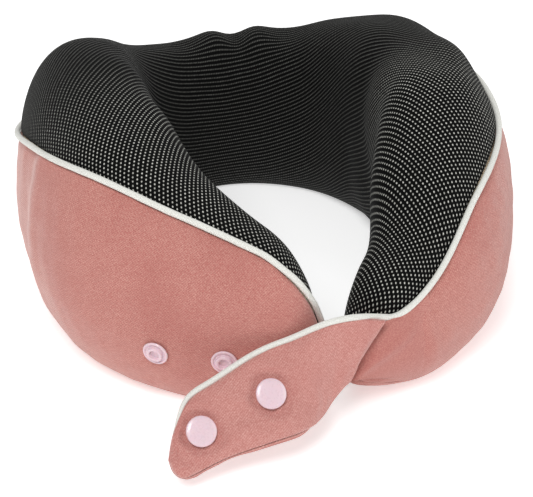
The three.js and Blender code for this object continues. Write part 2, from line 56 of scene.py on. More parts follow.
NECK_CENTRE_Y = 15.5
SECTIONS = np.array([
    # angle, inner radius, outer radius, height, height of the piping
    [-175, 90, 126, 45, 43],
    [-172, 88, 126, 64, 60],
    [-167, 84, 125, 80, 75],
    [-160, 78, 123, 88, 84],
    [-140, 67, 124, 101, 95],
    [-115, 58, 128, 117, 104],
    [-90, 56, 124, 126, 96],
    [-60, 61, 127, 125, 76],
    [-30, 74, 124, 97, 65],
    [0, 81, 120, 89, 58],
    [30, 74, 124, 96, 65],
    [60, 61, 127, 117, 75],
    [90, 56, 123, 118, 96],
    [115, 58, 124, 118, 94],
    [140, 62, 128, 95, 82],
    [160, 77, 127, 69, 57],
    [168, 83, 125, 62, 49],
    [173.5, 87, 123, 54, 45.5],
    [177.5, 88, 122, 40, 38],
])
LEAN = np.array([[0, 2], [30, 4], [60, 8], [90, 12], [115, 14], [140, 12], [160, 6], [178, 2]])
LEAN_START = 0.35
LEAN_REACH = 1.6
LEAN_CURVE = 1.3
SQUARENESS = 2.5
BASE_SINK = 3
TIP_HALF_WIDTH = 2.2
LEFT_TIP_START = -162
RIGHT_TIP_START = 167
LEFT_END = SECTIONS[0, 0]
RIGHT_END = SECTIONS[-1, 0]
CLOTH_THICKNESS = 1.2
FOAM_INSET = 2.2
PIPING_RADIUS = 1.45
PIPING_PROUD = 0.8
SEAM_TUCK = 1.2  # how far a panel's edge stops short of the middle of its piping
INNER_HEM = 247.0
TOP_PIPING_END = 170
ZIP_Z = 11
HEM_Z = 4  # height of the same seam on the arms
HEM_START = 56
HEM_END = 85
ZIP_HALF_GAP = 4.4
ZIP_FULL = 45  # the lower seam is fully open up to this angle, and closed from the next one
ZIP_CLOSED = 53
SEAM_HALF_GAP = 0.15
TIP_LIFT = 7.2  # how far the underside rises off the ground at the right arm's tip
TIP_LIFT_START = 153
TIP_LIFT_DEPTH = 36
CLOTH_RADIUS = 120  # turns an angle round the neck into a length of cloth
RELIEF_RADIUS = 110  # the same for the soft relief
RELIEF_GIRTH_RADIUS = 55
RIPPLE_RADIUS = 122


def smooth(x, a, b):
    t = np.clip((np.asarray(x, float) - a) / (b - a), 0, 1)
    return t * t * (3 - 2 * t)


def curve_through(rows, column):
    """The same cubic pieces as the CAD model: slopes from the points on each side."""
    xs = rows[:, 0].astype(float)
    ys = rows[:, column].astype(float)
    before = np.maximum(np.arange(len(xs)) - 1, 0)
    after = np.minimum(np.arange(len(xs)) + 1, len(xs) - 1)
    slopes = (ys[after] - ys[before]) / (xs[after] - xs[before])

    def value(x):
        x = np.clip(np.asarray(x, float), xs[0], xs[-1])
        i = np.clip(np.searchsorted(xs, x) - 1, 0, len(xs) - 2)
        width = xs[i + 1] - xs[i]
        t = (x - xs[i]) / width
        rise = ys[i + 1] - ys[i]
        m0 = slopes[i] * width
        m1 = slopes[i + 1] * width
        return ys[i] + m0 * t + (3 * rise - 2 * m0 - m1) * t ** 2 + (m0 + m1 - 2 * rise) * t ** 3

    return value


inner_radius = curve_through(SECTIONS, 1)
outer_radius = curve_through(SECTIONS, 2)
roll_height = curve_through(SECTIONS, 3)
piping_height = curve_through(SECTIONS, 4)
lean = curve_through(LEAN, 1)


def tip_rounding(angle):
    left = (LEFT_TIP_START - angle) / (LEFT_TIP_START - LEFT_END)
    right = (angle - RIGHT_TIP_START) / (RIGHT_END - RIGHT_TIP_START)
    t = np.clip(np.maximum(left, right), 0, 1)
    return np.sqrt(1 - t * t)


def tip_lift(angle):
    """How far the underside is off the ground."""
    return TIP_LIFT * smooth(angle, TIP_LIFT_START, RIGHT_END)


def leaning(angle, z, full):
    """How far the roll leans in over the neck at a height, given its full height there."""
    return LEAN_REACH * lean(np.abs(angle)) * np.maximum(z / full - LEAN_START, 0) ** LEAN_CURVE


def skin(angle, section, depth=0.0):
    """Points of the roll's surface, as an array whose last axis is x, y, z in mm."""
    angle, section = np.broadcast_arrays(np.asarray(angle, float), np.asarray(section, float))
    c = np.cos(np.radians(section))
    s = np.sin(np.radians(section))
    reach = (np.abs(c) ** SQUARENESS + np.abs(s) ** SQUARENESS) ** (-1 / SQUARENESS)
    full = roll_height(angle)
    middle = (inner_radius(angle) + outer_radius(angle)) / 2
    wide = (outer_radius(angle) - inner_radius(angle)) / 2
    half = TIP_HALF_WIDTH + (wide - TIP_HALF_WIDTH) * tip_rounding(angle) - depth
    round_part = (full - 2 * depth + BASE_SINK) / 2
    z = depth + np.maximum(0, round_part * (1 + reach * s) - BASE_SINK)
    z = z + tip_lift(angle) * (1 - smooth(z, 0, TIP_LIFT_DEPTH))
    r = middle + half * reach * c - leaning(angle, z, full)
    turn = np.radians(angle)
    return np.stack([r * np.sin(turn), r * np.cos(turn) + NECK_CENTRE_Y, z], -1)


def section_at(angle, z):
    """The section angle where the outer wall has a height."""
    angle = np.asarray(angle, float)
    low = np.full(angle.shape, -89.0)
    high = np.full(angle.shape, 89.0)
    for _ in range(30):
        middle = (low + high) / 2
        below = skin(angle, middle)[..., 2] < z
        low = np.where(below, middle, low)
        high = np.where(below, high, middle)
    return (low + high) / 2


def skin_normal(angle, section):
    across = skin(angle, section + 0.4) - skin(angle, section - 0.4)
    along = skin(angle + 0.4, section) - skin(angle - 0.4, section)
    normal = np.cross(across, along)
    return normal / np.maximum(np.linalg.norm(normal, axis=-1, keepdims=True), 1e-9)


def step_along(angle, section, distance):
    speed = np.linalg.norm(skin(angle, section + 0.5) - skin(angle, section - 0.5), axis=-1)
    return section + distance / speed


def piping_section(angle):
    return section_at(angle, piping_height(angle))


def wave(x, y, seed, scale):
    """Smooth wandering noise of about +-1 from a few sine waves, the same on every run."""
    rng = np.random.default_rng(seed)
    total = 0
    for _ in range(9):
        turn = rng.uniform(0, 2 * math.pi)
        pitch = scale * rng.uniform(0.6, 1.7)
        phase = rng.uniform(0, 2 * math.pi)
        total = total + np.sin((x * math.cos(turn) + y * math.sin(turn)) * 2 * math.pi / pitch + phase)
    return total / 3.5


# ------------------------------------------------------------------ mesh helpers

def add_uvs(piece, name, uvs):
    """A UV layer from one value pair for each vertex."""
    mesh = piece.data
    layer = mesh.uv_layers.new(name=name)
    corner_vertices = np.empty(len(mesh.loops), int)
    mesh.loops.foreach_get("vertex_index", corner_vertices)
    layer.data.foreach_set("uv", np.asarray(uvs, float)[corner_vertices].ravel())


def add_object(name, data):
    piece = bpy.data.objects.new(name, data)
    bpy.context.scene.collection.objects.link(piece)
    return piece


def make_object(name, points, faces, uvs=None):
    mesh = bpy.data.meshes.new(name)
    mesh.from_pydata((np.asarray(points) * MM).tolist(), [], faces)
    mesh.shade_smooth()
    piece = add_object(name, mesh)
    if uvs is not None:
        add_uvs(piece, "cloth", np.asarray(uvs) * MM)
    return piece


def strip_faces(rows, columns, offset=0, flip=False):
    i, j = np.meshgrid(np.arange(rows - 1), np.arange(columns - 1), indexing="ij")
    a = (i * columns + j + offset).ravel()
    quads = np.stack([a, a + 1, a + columns + 1, a + columns], -1)
    return (quads[:, ::-1] if flip else quads).tolist()


def ring_faces(rings, around, offset=0):
    """Quads between closed rings of points, each ring after the one before."""
    faces = []
    for i in range(rings - 1):
        a = offset + i * around
        for j in range(around):
            k = (j + 1) % around
            faces.append([a + j, a + k, a + around + k, a + around + j])
    return faces


def shell(name, outer, inner, uvs):
    """A closed panel between an outer and an inner grid of points of the same shape."""
    rows, columns = outer.shape[:2]
    count = rows * columns
    faces = strip_faces(rows, columns) + strip_faces(rows, columns, count, flip=True)
    grid = np.arange(count).reshape(rows, columns)
    rims = (grid[:, 0], False), (grid[:, -1], True), (grid[0], True), (grid[-1], False)
    for rim, flip in rims:
        for a, b in zip(rim.tolist(), rim[1:].tolist()):
            quad = [a, b, b + count, a + count]
            faces.append(quad[::-1] if flip else quad)
    points = np.concatenate([outer.reshape(-1, 3), inner.reshape(-1, 3)])
    return make_object(name, points, faces, np.concatenate([uvs.reshape(-1, 2)] * 2))


def run_lengths(path):
    """The length of a path up to each of its points."""
    return np.concatenate([[0], np.cumsum(np.linalg.norm(np.diff(path, axis=0), axis=1))])


def path_points(path, places, wanted):
    """Points of a path at the wanted places, given the place of each of its own points."""
    return np.stack([np.interp(wanted, places, path[:, axis]) for axis in range(3)], -1)


def cross_directions(path):
    """Two directions across a path at each point, carried along without twisting."""
    tangents = np.gradient(path, axis=0)
    tangents /= np.linalg.norm(tangents, axis=1, keepdims=True)
    side = np.cross(tangents[0], [0, 0, 1.0])
    if np.linalg.norm(side) < 0.1:
        side = np.cross(tangents[0], [0, 1.0, 0])
    sides = []
    for tangent in tangents:
        side = side - tangent * (side @ tangent)
        side = side / np.linalg.norm(side)
        sides.append(side)
    sides = np.array(sides)
    return sides, np.cross(tangents, sides)


def tube(name, path, radius, around=16):
    """A round-ended cord along a path; radius is one number or one for each point."""
    path = np.asarray(path, float)
    count = len(path)
    radius = np.broadcast_to(np.asarray(radius, float), (count,))
    sides, ups = cross_directions(path)
    turns = np.linspace(0, 2 * math.pi, around, endpoint=False)
    rings = (
        path[:, None]
        + radius[:, None, None] * np.cos(turns)[None, :, None] * sides[:, None]
        + radius[:, None, None] * np.sin(turns)[None, :, None] * ups[:, None]
    )
    lengths = run_lengths(path)
    uvs = np.stack([np.repeat(lengths, around), np.tile(turns * radius.mean(), count)], -1)
    points = np.concatenate([rings.reshape(-1, 3), path[[0, -1]]])
    uvs = np.concatenate([uvs, [[0, 0], [lengths[-1], 0]]])
    faces = ring_faces(count, around)
    first, last = count * around, count * around + 1
    for j in range(around):
        k = (j + 1) % around
        faces.append([first, k, j])
        faces.append([last, (count - 1) * around + j, (count - 1) * around + k])
    return make_object(name, points, faces, uvs)


def round_ends(path, radius, steps=5):
    """Adds domed ends to a cord: more points at each end, with the radius falling to nothing."""
    path = np.asarray(path, float)
    first = path[0] - path[1]
    last = path[-1] - path[-2]
    first /= np.linalg.norm(first)
    last /= np.linalg.norm(last)
    turns = np.linspace(0, math.pi / 2, steps + 1)[1:]
    reach = np.sin(turns)
    fall = np.cos(turns)
    fall[-1] = 0.05  # the last ring still has a size
    front = [path[0] + first * radius * r for r in reach][::-1]
    back = [path[-1] + last * radius * r for r in reach]
    radii = np.concatenate([radius * fall[::-1], np.full(len(path), radius), radius * fall])
    return np.concatenate([front, path, back]), radii


def turned(name, profile, around=64):
    """A lathe piece from a [radius, height] profile that starts and ends on the axis."""
    profile = np.asarray(profile, float)
    turns = np.linspace(0, 2 * math.pi, around, endpoint=False)
    inner = profile[1:-1]
    points = [[0, 0, profile[0, 1]], [0, 0, profile[-1, 1]]]
    for radius, height in inner:
        points += [[radius * math.cos(t), radius * math.sin(t), height] for t in turns]
    faces = ring_faces(len(inner), around, 2)
    last = 2 + (len(inner) - 1) * around
    for j in range(around):
        k = (j + 1) % around
        faces.append([0, 2 + k, 2 + j])
        faces.append([1, last + j, last + k])
    return make_object(name, points, faces)


def rounded_profile(points, radius, steps=4):
    """Rounds the inner corners of a profile by a small radius."""
    points = [np.array(p, float) for p in points]
    result = [points[0]]
    for before, corner, after in zip(points, points[1:], points[2:]):
        into = before - corner
        out = after - corner
        reach = min(radius, np.linalg.norm(into) * 0.45, np.linalg.norm(out) * 0.45)
        start = corner + into / np.linalg.norm(into) * reach
        end = corner + out / np.linalg.norm(out) * reach
        for t in np.linspace(0, 1, steps + 1):
            result.append((1 - t) ** 2 * start + 2 * t * (1 - t) * corner + t * t * end)
    result.append(points[-1])
    return result


def stand(piece, point, direction):
    """Bakes a turned piece's place into its mesh, its axis along a direction."""
    turn = Vector((0, 0, 1)).rotation_difference(Vector(direction)).to_matrix().to_4x4()
    piece.data.transform(Matrix.Translation(Vector(point) * MM) @ turn)
    return piece


# ------------------------------------------------------------------ materials

class Graph:
    """One material, with short names for adding nodes to it."""

    def __init__(self, name):
        self.material = bpy.data.materials.new(name)
        self.material.use_nodes = True
        self.tree = self.material.node_tree
        self.tree.nodes.clear()
        self.shader = self.node("ShaderNodeBsdfPrincipled")
        output = self.node("ShaderNodeOutputMaterial")
        self.put(output.inputs["Surface"], self.shader.outputs["BSDF"])

    def finish(self, looks):
        """Sets or links the shader's inputs by their names, and gives the material."""
        for name, value in looks.items():
            self.put(self.shader.inputs[name], value)
        return self.material

    def node(self, kind, inputs=None, **settings):
        node = self.tree.nodes.new(kind)
        for key, value in settings.items():
            setattr(node, key, value)
        for key, value in (inputs or {}).items():
            self.put(node.inputs[key], value)
        return node

    def put(self, socket, value):
        if isinstance(value, bpy.types.NodeSocket):
            self.tree.links.new(value, socket)
        else:
            socket.default_value = value

    def math(self, operation, a, b=0.0):
        return self.node("ShaderNodeMath", {0: a, 1: b}, operation=operation).outputs[0]

    def mix(self, factor, a, b):
        """Mixes two colours, whose sockets are numbers 6, 7 and 2."""
        return self.node("ShaderNodeMix", {0: factor, 6: a, 7: b}, data_type="RGBA").outputs[2]

    def noise(self, vector, scale, detail=3.0, roughness=0.5):
        inputs = {"Vector": vector, "Scale": scale, "Detail": detail, "Roughness": roughness}
        return self.node("ShaderNodeTexNoise", inputs).outputs["Fac"]

    def spread(self, value, low, high, to_low=0.0, to_high=1.0):
        inputs = {0: value, 1: low, 2: high, 3: to_low, 4: to_high}
        return self.node("ShaderNodeMapRange", inputs, interpolation_type="SMOOTHSTEP").outputs[0]

    def ribs(self, value, pitch):
        """A sine wave along a value."""
        return self.math("SINE", self.math("MULTIPLY", value, 2 * math.pi / pitch))

    def cloth_uv(self):
        uv = self.node("ShaderNodeUVMap", uv_map="cloth").outputs["UV"]
        parts = self.node("ShaderNodeSeparateXYZ", {0: uv})
        return uv, parts.outputs[0], parts.outputs[1]

    def place(self):
        return self.node("ShaderNodeTexCoord").outputs["Object"]

    def bump(self, height, strength, distance):
        inputs = {"Height": height, "Strength": strength, "Distance": distance}
        return self.node("ShaderNodeBump", inputs).outputs["Normal"]


def srgb(red, green, blue):
    values = [c / 255 for c in (red, green, blue)]
    return tuple(c / 12.92 if c <= 0.04045 else ((c + 0.055) / 1.055) ** 2.4 for c in values) + (1.0,)


ROW_PITCH = 2.3 * MM
DOT_PITCH = 1.8 * MM
FINE_PITCH = 1.05 * MM
WALE_PITCH = 1.25 * MM
COURSE_PITCH = 1.7 * MM
TWILL_PITCH = 0.75 * MM
TAPE_WARP_PITCH = 0.9 * MM
TAPE_WEFT_PITCH = 0.7 * MM


def dotted_knit():
    """Black knit with rows of small off-white dots, every other row shifted by half a dot.

    Round the back the cloth is drawn together along its rows, so the dots nearly touch.
    The cloth's second UV layer holds how much they do.
    """
    g = Graph("dotted_knit")
    uv, u, v = g.cloth_uv()
    gather_uv = g.node("ShaderNodeUVMap", uv_map="gather").outputs["UV"]
    gathered = g.node("ShaderNodeSeparateXYZ", {0: gather_uv}).outputs[0]
    wander = g.noise(uv, 60.0, 2.0)
    wobble = g.math("MULTIPLY", g.math("SUBTRACT", wander, 0.5), 0.3)
    row = g.math("ADD", g.math("DIVIDE", v, ROW_PITCH), wobble)
    shift = g.math("MULTIPLY", g.math("FLOORED_MODULO", g.math("FLOOR", row), 2.0), 0.5)
    y = g.math("SUBTRACT", g.math("FRACT", row), 0.5)
    across = g.math("MULTIPLY", y, ROW_PITCH / MM)

    def dots(pitch, start, end):
        column = g.math("ADD", g.math("DIVIDE", u, pitch), shift)
        x = g.math("MULTIPLY", g.math("SUBTRACT", g.math("FRACT", column), 0.5), pitch / MM)
        squares = g.math("ADD", g.math("MULTIPLY", x, x), g.math("MULTIPLY", across, across))
        return g.spread(g.math("SQRT", squares), start, end, 1.0, 0.0)

    wide_dots = dots(DOT_PITCH, 0.24, 0.56)
    fine_dots = g.math("MULTIPLY", dots(FINE_PITCH, 0.1, 0.6), 0.2)
    closing = g.math("MULTIPLY", gathered, g.math("SUBTRACT", fine_dots, wide_dots))
    dot = g.math("ADD", wide_dots, closing)
    rib = g.math("COSINE", g.math("MULTIPLY", y, 2 * math.pi))
    threads = g.noise(uv, 2600.0, 2.0)
    light = g.spread(g.noise(uv, 900.0, 2.0), 0.3, 0.7)
    dot_colour = g.mix(light, srgb(160, 160, 153), srgb(218, 218, 210))
    # The ground is painted darker in the gaps between the rib cords: painted shade in the knit's
    # grooves.
    ground = g.mix(g.spread(rib, -1.0, 1.0), srgb(4, 4, 4), srgb(13, 13, 13))
    height = g.math("ADD", g.math("MULTIPLY", dot, 0.5), g.math("MULTIPLY", threads, 0.35))
    height = g.math("ADD", g.math("MULTIPLY", rib, 0.6), height)
    return g.finish({
        "Base Color": g.mix(dot, ground, dot_colour),
        "Roughness": 0.9,
        "Sheen Weight": 0.03,
        "Sheen Roughness": 0.4,
        "Specular IOR Level": 0.12,
        "Normal": g.bump(height, 0.55, 0.0005),
    })


def pink_jersey(name, base, light, dark):
    """Brushed heather jersey: mottled fibres, fine slanted stitches with painted shade in their
    grooves, and a soft nap.
    """
    g = Graph(name)
    uv, u, v = g.cloth_uv()
    place = g.place()
    heather = g.noise(place, 1500.0, 3.0, 0.6)
    broad = g.noise(place, 26.0, 3.0, 0.55)

    def fibres(turn, scale):
        inputs = {"Vector": uv, "Rotation": (0.0, 0.0, turn), "Scale": (1.0, 7.0, 1.0)}
        return g.noise(g.node("ShaderNodeMapping", inputs).outputs[0], scale, 2.0)

    colour = g.mix(g.spread(heather, 0.25, 0.75), dark, light)
    colour = g.mix(0.35, colour, base)
    colour = g.mix(g.spread(fibres(0.75, 330.0), 0.5, 0.78, 0.0, 0.55), colour, light)
    colour = g.mix(g.spread(fibres(-0.6, 390.0), 0.5, 0.78, 0.0, 0.5), colour, dark)
    colour = g.mix(g.spread(broad, 0.35, 0.75, 0.0, 0.34), colour, dark)
    wale = g.ribs(g.math("ADD", u, v), WALE_PITCH)
    course = g.ribs(g.math("SUBTRACT", u, v), COURSE_PITCH)
    stitch = g.math("MULTIPLY", g.math("ADD", wale, g.math("MULTIPLY", course, 0.6)), 0.6)
    # Darker in the stitches' grooves, where the bump is low: painted shade.
    colour = g.mix(g.spread(stitch, -0.9, 0.9, 0.5, 0.0), colour, dark)
    height = g.math("ADD", stitch, g.math("MULTIPLY", heather, 2.2))
    return g.finish({
        "Base Color": colour,
        "Roughness": 0.95,
        "Sheen Weight": 0.55,
        "Sheen Roughness": 0.45,
        "Sheen Tint": (1.0, 0.9, 0.87, 1.0),
        "Specular IOR Level": 0.15,
        "Normal": g.bump(height, 0.35, 0.00025),
    })


def corded_piping():
    """Off-white bias tape over a cord, with a fine twill whose grooves hold painted shade."""
    g = Graph("white_piping")
    uv, u, v = g.cloth_uv()
    twill = g.ribs(g.math("ADD", u, g.math("MULTIPLY", v, 1.4)), TWILL_PITCH)
    fuzz = g.noise(uv, 1500.0, 3.0)
    colour = g.mix(g.spread(fuzz, 0.35, 0.7), srgb(228, 228, 220), srgb(246, 246, 241))
    # Darker in the twill's grooves: painted shade.
    colour = g.mix(g.spread(twill, -1.0, -0.3, 0.25, 0.0), colour, srgb(196, 194, 185))
    height = g.math("ADD", twill, g.math("MULTIPLY", fuzz, 0.8))
    return g.finish({
        "Base Color": colour,
        "Roughness": 0.8,
        "Sheen Weight": 0.2,
        "Normal": g.bump(height, 0.4, 0.00015),
    })


def moulded_plastic(name, colour, dark):
    g = Graph(name)
    cloud = g.noise(g.place(), 60.0, 2.0)
    grain = g.noise(g.place(), 900.0, 2.0)
    return g.finish({
        "Base Color": g.mix(g.spread(cloud, 0.35, 0.7, 0.0, 0.25), colour, dark),
        "Roughness": g.spread(grain, 0.2, 0.8, 0.24, 0.34),
        "Coat Weight": 0.25,
        "Subsurface Weight": 0.08,
        "Subsurface Scale": 0.002,
    })


def zip_tape_cloth():
    g = Graph("zip_tape")
    _, u, v = g.cloth_uv()
    weave = g.math("MULTIPLY", g.ribs(u, TAPE_WARP_PITCH), g.ribs(v, TAPE_WEFT_PITCH))
    return g.finish({
        # Darker where the weave's bump is low: painted shade in the weave's hollows.
        "Base Color": g.mix(g.spread(weave, -1.0, 1.0), srgb(168, 108, 98), srgb(196, 134, 122)),
        "Roughness": 0.85,
        "Normal": g.bump(weave, 0.5, 0.0001),
    })


def plated_metal():
    g = Graph("zip_metal")
    brushed = g.noise(g.place(), 1400.0, 3.0)
    colour = g.mix(g.spread(brushed, 0.3, 0.7), srgb(198, 194, 190), srgb(224, 221, 217))
    return g.finish({
        "Base Color": colour,
        "Roughness": g.spread(brushed, 0.2, 0.8, 0.2, 0.36),
        "Metallic": 1.0,
    })


def open_cell_foam():
    g = Graph("foam")
    cells = g.node("ShaderNodeTexVoronoi", {"Vector": g.place(), "Scale": 900.0}).outputs["Distance"]
    # Darker in the middle of each cell, where the bump is lowest: painted shade in the pores.
    colour = g.mix(g.spread(cells, 0.0, 0.6), srgb(206, 196, 160), srgb(240, 232, 204))
    return g.finish({
        "Base Color": colour,
        "Roughness": 0.95,
        "Normal": g.bump(cells, 0.6, 0.0004),
    })


KNIT = dotted_knit()
JERSEY = pink_jersey("pink_jersey", srgb(199, 136, 126), srgb(226, 174, 161), srgb(172, 97, 91))
# The strap's jersey is the arms' cloth painted lighter all over: painted light, for the extra light the
# padded strap catches.
STRAP_JERSEY_PAINTED_LIGHTER = pink_jersey(
    "pink_jersey_strap_painted_lighter", srgb(205, 146, 137), srgb(231, 182, 172), srgb(180, 108, 102),
)
PIPING = corded_piping()
SNAP = moulded_plastic("snap_plastic", srgb(232, 206, 214), srgb(222, 190, 201))
ZIP_TAPE = zip_tape_cloth()
ZIP_COIL = moulded_plastic("zip_coil", srgb(188, 122, 112), srgb(170, 104, 95))
METAL = plated_metal()
FOAM = open_cell_foam()


def dress(piece, material, slot, *nodes):
    piece.data.materials.clear()
    piece.data.materials.append(material)
    if nodes:
        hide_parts(*nodes)
    return piece


# ------------------------------------------------------------------ the cover panels

# Low, soft folds of the cloth over the foam: [angle, section, width in degrees, height in
# degrees, rise in mm]. The first two are the pair of ribs on top of the closed back, and the
# last three round the arms' shoulders.
SOFT_FORMS = [
    (1, 100, 4.5, 40, 3.2),
    (15, 100, 4.5, 40, 3.2),
    (8, 100, 3.5, 36, -2.6),
    (26, 98, 7, 36, -3.4),
    (-10, 98, 6, 36, -2.2),
    (60, 72, 19, 32, -3.2),
    (95, 64, 13, 14, 4.0),
    (-38, 88, 11, 34, 3.6),
]


def relief(angle, section):
    """How far the cloth stands out of the plain roll, in mm."""
    x = np.radians(angle) * RELIEF_RADIUS
    y = np.radians(section) * RELIEF_GIRTH_RADIUS
    total = 0.45 * wave(x, y, 3, 60)
    for a, s, wide, high, rise in SOFT_FORMS:
        total = total + rise * np.exp(-((angle - a) / wide) ** 2 - ((section - s) / high) ** 2)
    return total


TUCK_REACH = 3.5


def even_sections(angles, start, end, columns):
    """Section angles evenly spaced along the cloth between two edges, for each angle."""
    fine = np.linspace(0, 1, 241)
    sections = start[:, None] + (end - start)[:, None] * fine
    points = skin(angles[:, None], sections)
    lengths = np.concatenate([
        np.zeros((len(angles), 1)),
        np.cumsum(np.linalg.norm(np.diff(points, axis=1), axis=-1), axis=1),
    ], axis=1)
    shares = np.linspace(0, 1, columns)
    across = lengths[:, -1:] * shares
    return np.array([np.interp(*row) for row in zip(across, lengths, sections)]), across


def roll_angles(count):
    """Angles along the roll, closer together at the rounded tips."""
    t = np.linspace(0, 1, count)
    return LEFT_END + (RIGHT_END - LEFT_END) * (t - 0.1 * np.sin(2 * math.pi * t))


def panel(name, angles, start, end, columns, uv_of, rise_of, tucks, pull_of=None):
    """A cloth panel between two edges; tucks say how far in its edges are sewn, in mm."""
    sections, across = even_sections(angles, start, end, columns)
    girth = across[:, -1:]
    tuck = tucks[0] * np.exp(-across / TUCK_REACH) + tucks[1] * np.exp((across - girth) / TUCK_REACH)
    base = skin(angles[:, None], sections)
    normal = skin_normal(angles[:, None], sections)
    fade = tip_rounding(angles)[:, None] ** 2
    flat = smooth(base[..., 2], 0.0, 6.0)
    lift = (rise_of(angles[:, None], sections, across, girth) * fade - tuck) * flat
    if pull_of:
        lift = lift - pull_of(base) * flat
    outer = base + normal * lift[..., None]
    inner = skin(angles[:, None], sections, CLOTH_THICKNESS) + normal * (lift * 0.9)[..., None]
    outer[..., 2] = np.maximum(outer[..., 2], 0.0)
    return shell(name, outer, inner, uv_of(angles[:, None], sections, across, girth))


CREST_RADIUS = 104
KNIT_FAN = 0.43  # how much the knit's grain turns for each turn of the roll


def knit_uv(angles, sections, across, girth):
    """The knit opened out flat, as a fan: its rows run along the back and cross the arms."""
    crest = np.array([np.interp(90, *row) for row in zip(sections, across)])
    reach = CREST_RADIUS / KNIT_FAN + crest[:, None] - across
    points = skin(angles, sections)
    plain = np.radians(np.diff(angles, axis=0)) * KNIT_FAN
    covered = np.linalg.norm(np.diff(points, axis=0), axis=-1) / reach[1:]
    at_tip = smooth(np.abs(angles[1:]), 152, 160)
    steps = plain + at_tip * np.maximum(covered - plain, 0)
    turn = np.concatenate([np.zeros((1, across.shape[1])), np.cumsum(steps, axis=0)])
    turn = turn - turn[np.argmin(np.abs(angles[:, 0]))]
    return np.stack([reach * np.sin(turn), reach * np.cos(turn)], -1)


def plain_uv(angles, sections, across, girth):
    u = np.radians(angles) * CLOTH_RADIUS + np.zeros_like(across)
    return np.stack([u, across], -1)


def knit_rise(angles, sections, across, girth):
    return relief(angles, sections)


# Long soft drag lines of the jersey: [angle, lean in degrees per mm, width in degrees, rise].
DRAG_LINES = [
    (-101, 0.05, 4.0, 1.4),
    (-92, 0.02, 5.0, -1.2),
    (-149, -0.10, 2.2, 0.5),
    (158, 0.12, 2.0, 0.8),
    (163, 0.22, 1.6, -0.8),
    (150, 0.10, 4.0, -0.6),
]


def jersey_rise(angles, sections, across, girth):
    total = relief(angles, sections)
    for angle, tilt, wide, rise in DRAG_LINES:
        middle = angle + tilt * across
        total = total + rise * np.exp(-((angles - middle) / wide) ** 2) * smooth(across, 0, 20)
    x = np.radians(angles) * RIPPLE_RADIUS
    ripple = wave(x, across * 0.25, 11, 16) * np.exp(-(girth - across) / 8)
    return total + 0.22 * ripple + 0.15 * wave(x, across, 21, 14)


SEAM_TOP = np.array([15.5, 53])  # the strap's seam on the right arm, as x and z
SEAM_FOOT = np.array([-1, 23])
SEAM_DENT = 1.1
GATHER_RISE = 0.8


def seam_pull(points):
    """How far the strap's seam pulls the jersey in, with a few gathers at its foot."""
    way = (SEAM_FOOT - SEAM_TOP) / np.linalg.norm(SEAM_FOOT - SEAM_TOP)
    from_top = points[..., [0, 2]] - SEAM_TOP
    along = from_top @ way
    off = from_top[..., 0] * -way[1] + from_top[..., 1] * way[0]
    dent = np.exp(-(np.maximum(off, 0) / 3.2) ** 1.5) * smooth(along, -8, 0)
    gathers = np.sin(along * 1.1 + off * 0.25) * np.exp(-(off / 12) ** 2)
    gathers = gathers * smooth(along, 14, 30) * smooth(off, 1, 4)
    on_right_arm = (points[..., 0] > -4) & (points[..., 1] < -60)
    return (SEAM_DENT * dent - GATHER_RISE * gathers) * on_right_arm


def lower_opening(angle):
    """Half the gap between the jersey's edge and the base panel's, in mm."""
    opened = 1 - smooth(np.abs(angle), ZIP_FULL, ZIP_CLOSED)
    return SEAM_HALF_GAP + (ZIP_HALF_GAP - SEAM_HALF_GAP) * opened


def lower_seam(angle):
    """Height of the middle of the seam between the jersey and the base panel."""
    return ZIP_Z + (HEM_Z - ZIP_Z) * smooth(np.abs(angle), HEM_START, HEM_END) + tip_lift(angle)


def base_rise(angles, sections, across, girth):
    return relief(angles, sections - 360)


ANGLES = roll_angles(420)
PIPING_SECTIONS = piping_section(ANGLES)
KNIT_COLUMNS = 110
GATHER_START = 75
GATHER_END = 118

knit_top = step_along(ANGLES, PIPING_SECTIONS, SEAM_TUCK)
knit_hem = np.full(ANGLES.shape, INNER_HEM)
knit = panel("inner_knit", ANGLES, knit_top, knit_hem, KNIT_COLUMNS, knit_uv, knit_rise, (0.7, 0.5))
gather = np.repeat(1 - smooth(np.abs(ANGLES), GATHER_START, GATHER_END), KNIT_COLUMNS)
add_uvs(knit, "gather", np.tile(np.stack([gather, 0 * gather], -1), (2, 1)))
dress(knit, KNIT, "dotted_knit", "inner_knit_panel")

jersey_hem = section_at(ANGLES, lower_seam(ANGLES) + lower_opening(ANGLES))
jersey_top = step_along(ANGLES, PIPING_SECTIONS, -SEAM_TUCK)
jersey = panel(
    "outer_jersey", ANGLES, jersey_hem, jersey_top, 80, plain_uv, jersey_rise, (0.3, 0.8), seam_pull,
)
dress(jersey, JERSEY, "pink_jersey", "outer_jersey_panel")

base_start = np.full(ANGLES.shape, INNER_HEM + 0.4)
base_end = section_at(ANGLES, lower_seam(ANGLES) - lower_opening(ANGLES)) + 360
base = panel("base_jersey", ANGLES, base_start, base_end, 40, plain_uv, base_rise, (0.5, 0.3))
dress(base, JERSEY, "pink_jersey", "base_panel")


def foam_roll():
    angles = np.linspace(LEFT_END + 2, RIGHT_END - 2, 150)
    sections = np.linspace(-90, 270, 48, endpoint=False)
    hollow = np.minimum(relief(angles[:, None], sections[None]), 0)
    rings = skin(angles[:, None], sections[None], FOAM_INSET)
    rings = rings + skin_normal(angles[:, None], sections[None]) * hollow[..., None]
    count = len(sections)
    faces = ring_faces(len(angles), count)
    faces.append(list(range(count))[::-1])
    faces.append([(len(angles) - 1) * count + j for j in range(count)])
    return make_object("foam_roll", rings.reshape(-1, 3), faces)


foam = dress(foam_roll(), FOAM, "foam", "foam_core")

# ------------------------------------------------------------------ piping

TIP_CORD_GAP = 0.4
TIP_CORD_FOOT = 1.5


def piping_path(angles):
    sections = piping_section(angles)
    return skin(angles, sections) + skin_normal(angles, sections) * PIPING_PROUD


